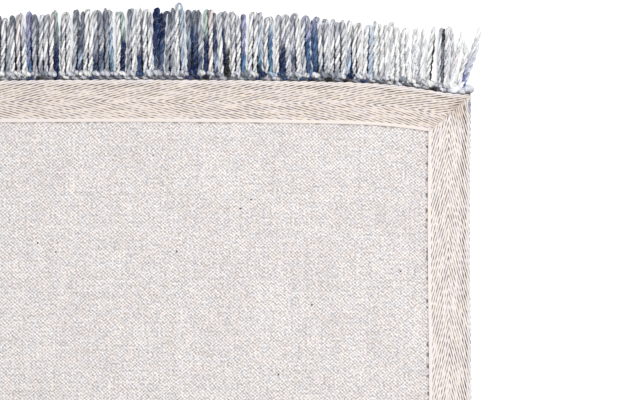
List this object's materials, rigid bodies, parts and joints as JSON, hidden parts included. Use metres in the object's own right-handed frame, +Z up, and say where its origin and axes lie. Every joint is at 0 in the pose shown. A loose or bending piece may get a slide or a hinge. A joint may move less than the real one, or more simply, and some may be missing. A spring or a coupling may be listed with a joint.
{
  "type": "wool rug",
  "caption": "Small fringed wool rug lying back up, with a canvas backing, mitred herringbone tape binding and twisted wool loops at both ends.",
  "frame": {"origin": "on the floor, under the middle of the rug's bounding box", "axes": "+Z up from the floor, with the rug's back upwards; +Y along the rug's length towards one fringe; +X across its width"},
  "size_m": [0.6192, 0.8987, 0.0108],
  "materials": {
    "wool": "matt wool",
    "canvas": "matt undyed plain weave",
    "tape": "matt undyed herringbone twill",
    "fringe": "soft space-dyed wool yarn in whites, greys and blues"
  },
  "bodies": {
    "root": {"wool_face": "wool", "backing_canvas": "canvas", "tape_north": "tape", "tape_south": "tape", "tape_east": "tape", "tape_west": "tape", "fringe_north": "fringe", "fringe_south": "fringe"}
  },
  "joints": []
}
